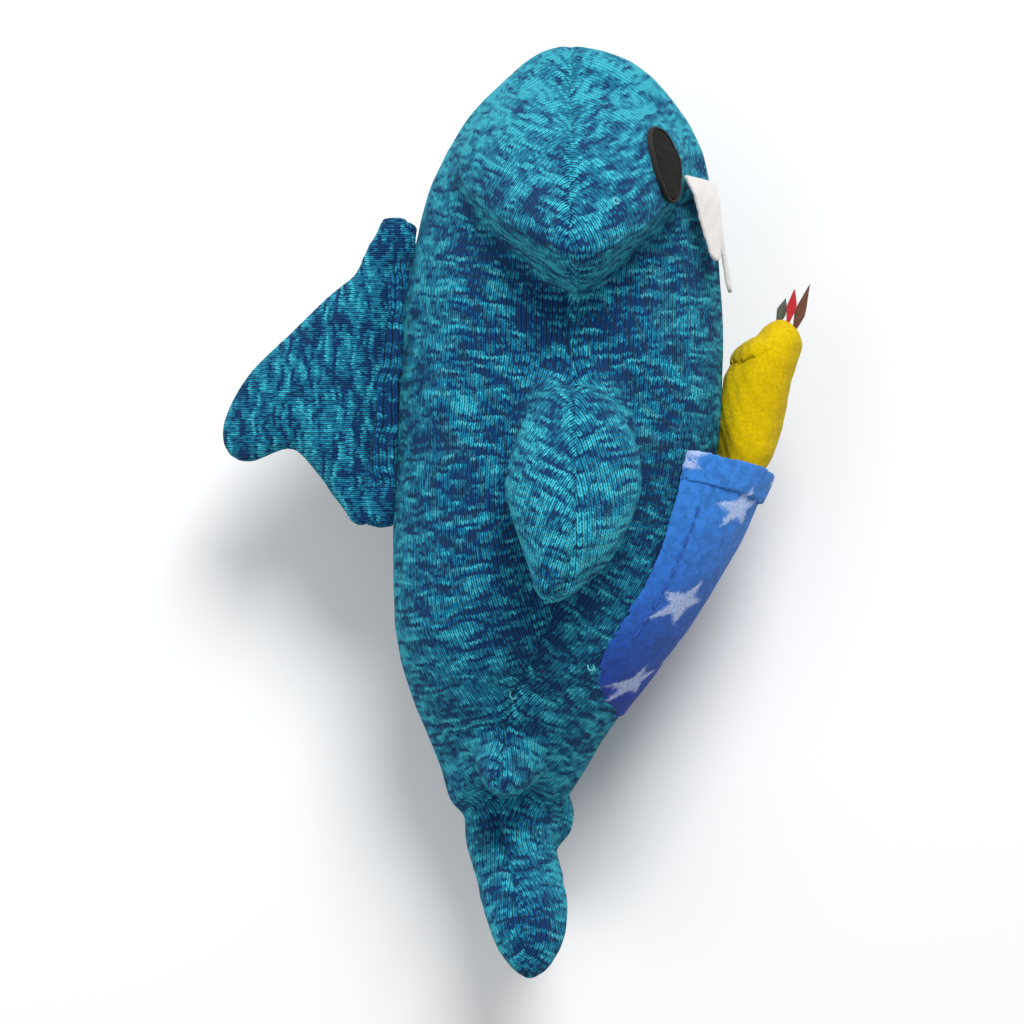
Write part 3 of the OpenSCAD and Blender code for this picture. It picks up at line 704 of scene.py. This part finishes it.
def star(n, u, v, cu, cv, size, turn):
    """1 inside a five-pointed star."""
    du, dv = n.sub(u, cu), n.sub(v, cv)
    r = n.math("SQRT", n.add(n.mul(du, du), n.mul(dv, dv)))
    a = n.math("ARCTAN2", dv, du)
    step = 2 * math.pi / 5
    a = n.abs(n.sub(n.mul(n.fract(n.add(n.mul(a, 1 / step), turn)), step), step / 2))
    inner = 0.44
    top = size * inner * math.sin(step / 2)
    low = n.add(
        n.mul(n.math("COSINE", a), inner * math.sin(step / 2)),
        n.mul(n.math("SINE", a), 1 - inner * math.cos(step / 2)),
    )
    edge = n.math("DIVIDE", top, low)
    return n.range(n.sub(edge, r), -1.3, 1.5)


def pocket_material():
    n = Nodes("pocket_fleece")
    uv = n.new("ShaderNodeUVMap", uv_map="cloth").outputs[0]
    pos = n.new("ShaderNodeTexCoord").outputs["Object"]
    u, v, _ = n.split(uv)
    rag = n.noise(pos, 700.0, 3.0, 0.7)
    rag2 = n.noise(pos, 690.0, 3.0, 0.7, 0.4)
    um = n.add(n.mul(u, 1000.0), n.mul(n.sub(rag, 0.5), 5.0))
    vm = n.add(n.mul(v, 1000.0), n.mul(n.sub(rag2, 0.5), 5.0))
    top, low = srgb(52, 122, 204), srgb(12, 42, 148)
    base = n.mix(n.range(vm, 10.0, 100.0, 0.0, 1.0, smooth=False), low, top)
    pile = n.noise(pos, 1500.0, 4.0, 0.75, 0.8)
    clump = n.noise(pos, 260.0, 4.0, 0.7, 0.5)
    deep = n.new("ShaderNodeVectorMath", operation="SCALE")
    n.put(deep.inputs[0], base)
    n.put(deep.inputs[3], n.range(clump, 0.3, 0.7, 0.72, 1.18))
    mask = None
    for cu, cv, size, turn in STARS:
        s = star(n, um, vm, cu, cv, size, turn)
        mask = s if mask is None else n.math("MAXIMUM", mask, s)
    worn = n.range(pile, 0.36, 0.66, 0.35, 1.0)
    c = n.mix(n.mul(mask, worn), deep.outputs[0], srgb(196, 210, 238))
    c = n.mix(n.range(pile, 0.55, 0.85, 0.0, 0.22), c, srgb(130, 180, 235))
    h = n.add(n.mul(pile, 0.7), n.mul(clump, 0.9))
    return n.cloth(c, n.bump(h, 0.5, 0.0006), 0.95, 0.15, (0.7, 0.85, 1.0), 0.06)


# Star centres across and up the pocket in mm from its foot, size and turn
STARS = [
    (22.0, 99.0, 9.6, 0.30),
    (25.5, 56.0, 10.6, 0.05),
    (12.5, 19.0, 9.2, 0.55),
    (42.5, 123.0, 8.0, 0.2),
    (-2.0, 75.0, 11.0, 0.4),
    (-3.0, 34.0, 10.0, 0.15),
    (2.0, 112.0, 10.5, 0.65),
    (-27.0, 98.0, 10.5, 0.1),
    (-27.0, 55.0, 11.0, 0.5),
    (-17.0, 14.0, 10.0, 0.25),
]


def pocket_flat(c):
    """The pocket's cloth laid flat: across from its middle, and up from its foot."""
    z = np.clip((c[:, 2] * 1000 - 72) / 47, -0.98, 0.98)
    return np.stack([47 * np.arcsin(z) * MM, (c[:, 1] + 0.0845) * 1.16], 1)


def build_pocket():
    mat = pocket_material()
    panel = copy_nodes("pocket_fleece", ["pocket_panel"], 0.0001)
    remesh(panel, 0.0008, 5, 0.6)
    hem = copy_nodes("pocket_hem_fold", ["pocket_hem"], 0.0002)
    remesh(hem, 0.0007, 7, 0.6)
    for o, nodes in ((panel, ["pocket_panel"]), (hem, ["pocket_hem"])):
        me = o.data
        co, n = coords(me), normals(me)
        mm = co * 1000
        near_top = np.clip((mm[:, 1] + 5) / 25, 0, 1)
        folds = (0.35, 0.11, 0.13, 0.16, 0), (0.3, 0.0, 0.31, 0.22, 1.3), (0.22, 0.2, 0.0, 0.5, 2.0)
        move = wave(mm, *folds) * (0.5 + near_top)
        # both faces of the sheet shift the same way, so that its thickness stays
        co[:, 0] += move * MM * 0.8
        co[:, 1] += wave(mm, (0.3, 0.0, 0.0, 0.35, 0.4), (0.2, 0, 0, 0.9, 1.0)) * MM * near_top
        set_coords(me, co)
        box_uv(o, pocket_flat)
        me.materials.append(mat)
        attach(o, "shark")
        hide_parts(*nodes)
    return panel, hem


pocket, hem = build_pocket()


# ---- Eyes -----------------------------------------------------------------------------------


def build_eyes():
    felt_black = felt("black_felt", srgb(24, 23, 20), 0.7, sheen=0.02, vary=0.3)
    for side, node in (("right", "right_eye"), ("left", "left_eye")):
        eye = copy_nodes(side + "_eye_felt", [node], 0.0002)
        remesh(eye, 0.0005, 4, 0.5)
        me = eye.data
        co, n = coords(me), normals(me)
        move = wave(co * 1000, (0.10, 0.9, 0.7, 0.4, 0), (0.08, 1.9, 2.3, 1.1, 1))
        set_coords(me, co + n * (move * MM)[:, None])
        me.materials.append(felt_black)
        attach(eye, "shark")
        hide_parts(node)
    rim = copy_nodes("eye_rims", ["eye_stitches"], 0.0001)
    remesh(rim, 0.0004, 3, 0.5)
    rim.data.materials.append(felt("eye_thread", srgb(40, 39, 36), 0.9, 0.7, 0.04, vary=0.3))
    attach(rim, "shark")
    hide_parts("eye_stitches")


build_eyes()

# ---- Teeth ----------------------------------------------------------------------------------


GUM_BAND = 0.009  # metres of each tooth, from its gum edge, that is drawn in


def build_teeth():
    white = felt("white_felt", srgb(214, 210, 206), 0.5, vary=0.04)
    for node, body, flat, turn, sink in (
        ("right_tooth", "right_fang", (0.024, 0.033), 0.56, 0.0020),
        ("left_tooth", "left_fang", (0.026, 0.042), 0.16, 0.0010),
    ):
        t = copy_nodes(node + "_felt", [node], 0.0001)
        remesh(t, 0.0005, 4, 0.5)
        me = t.data
        co = coords(me)
        mm = co * 1000
        co[:, 0] += wave(mm, (0.16, 0.0, 0.24, 0.31, 0.5), (0.08, 0.0, 0.9, 0.7, 1.9)) * MM
        # The gum edge is drawn in towards the face, and the blade stands off it
        top = co[:, 1].max()
        gum = np.clip((co[:, 1] - (top - GUM_BAND)) / GUM_BAND, 0, 1) ** 1.5
        co[:, 0] -= gum * sink * math.cos(turn)
        co[:, 2] -= gum * sink * math.sin(turn)
        set_coords(me, co)
        me.materials.append(white)
        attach(t, body)
        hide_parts(node)


build_teeth()

# ---- Pocket's topstitching ------------------------------------------------------------------


def strand(name, paths, r, mat, body, replaced=()):
    """Loose or sewn thread: thin tubes through points."""
    cu = bpy.data.curves.new(name, "CURVE")
    cu.dimensions = "3D"
    cu.bevel_depth = r
    cu.bevel_resolution = 3
    cu.use_fill_caps = True
    for pts in paths:
        s = cu.splines.new("NURBS")
        s.points.add(len(pts) - 1)
        for q, p in zip(s.points, pts):
            q.co = (*p, 1)
        s.use_endpoint_u = True
        s.order_u = 3
        s.resolution_u = 5
    tmp = link(bpy.data.objects.new(name + "_c", cu))
    deps = bpy.context.evaluated_depsgraph_get()
    me = bpy.data.meshes.new_from_object(tmp.evaluated_get(deps))
    bpy.data.objects.remove(tmp)
    me.name = name
    me.polygons.foreach_set("use_smooth", [True] * len(me.polygons))
    obj = link(bpy.data.objects.new(name, me))
    me.materials.clear()
    me.materials.append(mat)
    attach(obj, body)
    if replaced:
        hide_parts(*replaced)
    return obj


def islands(obj):
    """The points of each loose solid in a mesh."""
    bm = bmesh.new()
    bm.from_mesh(obj.data)
    bmesh.ops.remove_doubles(bm, verts=bm.verts, dist=2e-5)
    seen, out = set(), []
    for v in bm.verts:
        if v.index in seen:
            continue
        todo, part = [v], []
        seen.add(v.index)
        while todo:
            q = todo.pop()
            part.append(q.co.copy())
            for e in q.link_edges:
                w = e.other_vert(q)
                if w.index not in seen:
                    seen.add(w.index)
                    todo.append(w)
        out.append(np.array(part))
    bm.free()
    return out


def build_stitches():
    thread = felt("pocket_thread", srgb(40, 88, 178), 0.8, 0.7, 0.1)
    paths = []
    for part in islands(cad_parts["pocket_stitches"]):
        c = part.mean(0)
        axis = np.linalg.svd(part - c, full_matrices=False)[2][0]
        l = np.abs((part - c) @ axis).max() * 0.96
        bow = Vector((0.0003, 0, 0))
        a, b = Vector(c - axis * l), Vector(c + axis * l)
        paths.append([a, (a + b) / 2 + bow, b])
    strand("pocket_topstitching", paths, 0.0004, thread, "shark", ["pocket_stitches"])


build_stitches()

# Where each loose end of yarn stands, as x and y in metres, and its size
YARN_ENDS = [(0.0378, 0.1135, 1.0), (-0.0005, -0.0715, 0.8), (0.0300, -0.060, 0.9)]


def loose_threads():
    """Short curled ends of yarn left standing on the cloth."""
    mat = felt("loose_yarn", srgb(120, 205, 214), 0.5, 0.8, 0.1)
    skin = BVHTree.FromPolygons([v.co for v in torso.data.vertices], [p.vertices for p in torso.data.polygons])
    for i, (x, y, size) in enumerate(YARN_ENDS):
        hit, normal, _, _ = skin.ray_cast(Vector((x, y, 0.3)), Vector((0, 0, -1)))
        r = 0.0016 * size
        pts = []
        for k in range(7):
            a = 0.9 * k + i
            lift = -0.0005 if k == 0 else 0.0003 + 0.0003 * k  # the first point is under the cloth
            pts.append(hit + Vector((math.cos(a) * r * 0.8, math.sin(a) * r, 0)) + normal * lift)
        strand("loose_yarn_%d" % (i + 1), [pts], 0.00022, mat, "shark")


loose_threads()

# ---- Toy in the pocket ----------------------------------------------------------------------


TOY_LEAN = 0.0030  # metres that the toy's back is filled out towards the belly


def build_toy():
    yellow = fleece("toy_fleece", srgb(212, 184, 0), srgb(192, 160, 0), 0.03)
    plush = copy_nodes("toy_plush", ["toy_stuffing"], 0.0014)
    hood = copy_nodes("toy_hood", ["toy_fold"], 0.0001)
    for o, size in ((plush, 0.0011), (hood, 0.0007)):
        remesh(o, size, 5, 0.5)
        me = o.data
        co, n = coords(me), normals(me)
        mm = co * 1000
        lumps = (0.35, 0.21, 0.12, 0.27, 0), (0.25, 0.43, -0.18, 0.35, 1.1), (0.12, 0.9, 0.5, 0.8, 2.0)
        move = wave(mm, *lumps)
        co = co + n * (move * MM)[:, None]
        # Its back is fuller, towards the belly
        lean = np.clip((mm[:, 1] - 12) / 22, 0, 1) * np.clip((88 - mm[:, 1]) / 22, 0, 1)
        back = np.clip(0.5 - n[:, 0] * 0.9, 0, 1)
        co[:, 0] -= TOY_LEAN * lean * back
        set_coords(me, co)
        me.materials.append(yellow)
        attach(o, "pocket_toy")
    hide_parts("toy_cover", "toy_stuffing")
    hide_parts("toy_fold")
    for node, slot_name, col in (
        ("toy_red_tip", "red_felt", srgb(186, 34, 40)),
        ("toy_brown_tip", "brown_felt", srgb(104, 64, 48)),
        ("toy_green_tip", "green_felt", srgb(86, 92, 80)),
    ):
        tip = copy_nodes(node + "_felt", [node], 0.0001)
        remesh(tip, 0.00035, 3, 0.5)
        me = tip.data
        co = coords(me)
        mm = co * 1000
        co[:, 2] += wave(mm, (0.3, 0.35, 0.3, 0.0, 0.3 + len(node))) * MM
        # Its foot reaches down to the crown
        low = np.clip((np.median(co[:, 1]) - co[:, 1]) / np.ptp(co[:, 1]) * 2, 0, 1)
        co[:, 1] -= 0.0048 * low
        co[:, 0] -= 0.0016 * low
        set_coords(me, co)
        me.materials.append(felt(slot_name, col, 0.6, vary=0.2))
        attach(tip, "pocket_toy")
        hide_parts(node)


build_toy()

# ---- Camera, floor and light ----------------------------------------------------------------


VIEW_WIDTH = 0.4096  # metres across the picture, one metre from the camera


def build_stage():
    me = make("floor", [(-3, -3, 0), (3, -3, 0), (3, 3, 0), (-3, 3, 0)], [(0, 1, 2, 3)])
    n = Nodes("floor")
    b = n.new("ShaderNodeBsdfPrincipled")
    b.inputs["Base Color"].default_value = (0.86, 0.86, 0.86, 1)
    b.inputs["Roughness"].default_value = 0.8
    n.tree.links.new(b.outputs[0], n.out.inputs["Surface"])
    me.data.materials.append(n.mat)
    world = bpy.data.worlds.new("world")
    scene.world = world
    world.use_nodes = True
    world.node_tree.nodes["Background"].inputs[0].default_value = (0.95, 0.97, 1.0, 1)
    world.node_tree.nodes["Background"].inputs[1].default_value = 0.42

    def area(name, at, target, size, power, color=(1, 1, 1)):
        d = bpy.data.lights.new(name, "AREA")
        d.shape = "DISK"
        d.size = size
        d.energy = power
        d.color = color
        o = link(bpy.data.objects.new(name, d))
        o.location = at
        o.rotation_euler = (Vector(target) - Vector(at)).to_track_quat("-Z", "Y").to_euler()

    area("key", (0.30, 1.15, 1.35), (0, 0, 0.05), 0.8, 30)
    area("fill", (-1.0, -0.3, 1.3), (0, 0, 0.05), 1.2, 8)
    cam = bpy.data.cameras.new("camera")
    cam.sensor_width = 36
    cam.lens = 36 * 1.0 / VIEW_WIDTH
    cam.clip_start = 0.02
    cam.clip_end = 20
    c = link(bpy.data.objects.new("camera", cam))
    c.location = (-0.0002, -0.0006, 1.072)
    c.rotation_euler = (0, 0, 0)
    scene.camera = c


build_stage()
scene.view_settings.view_transform = "Standard"
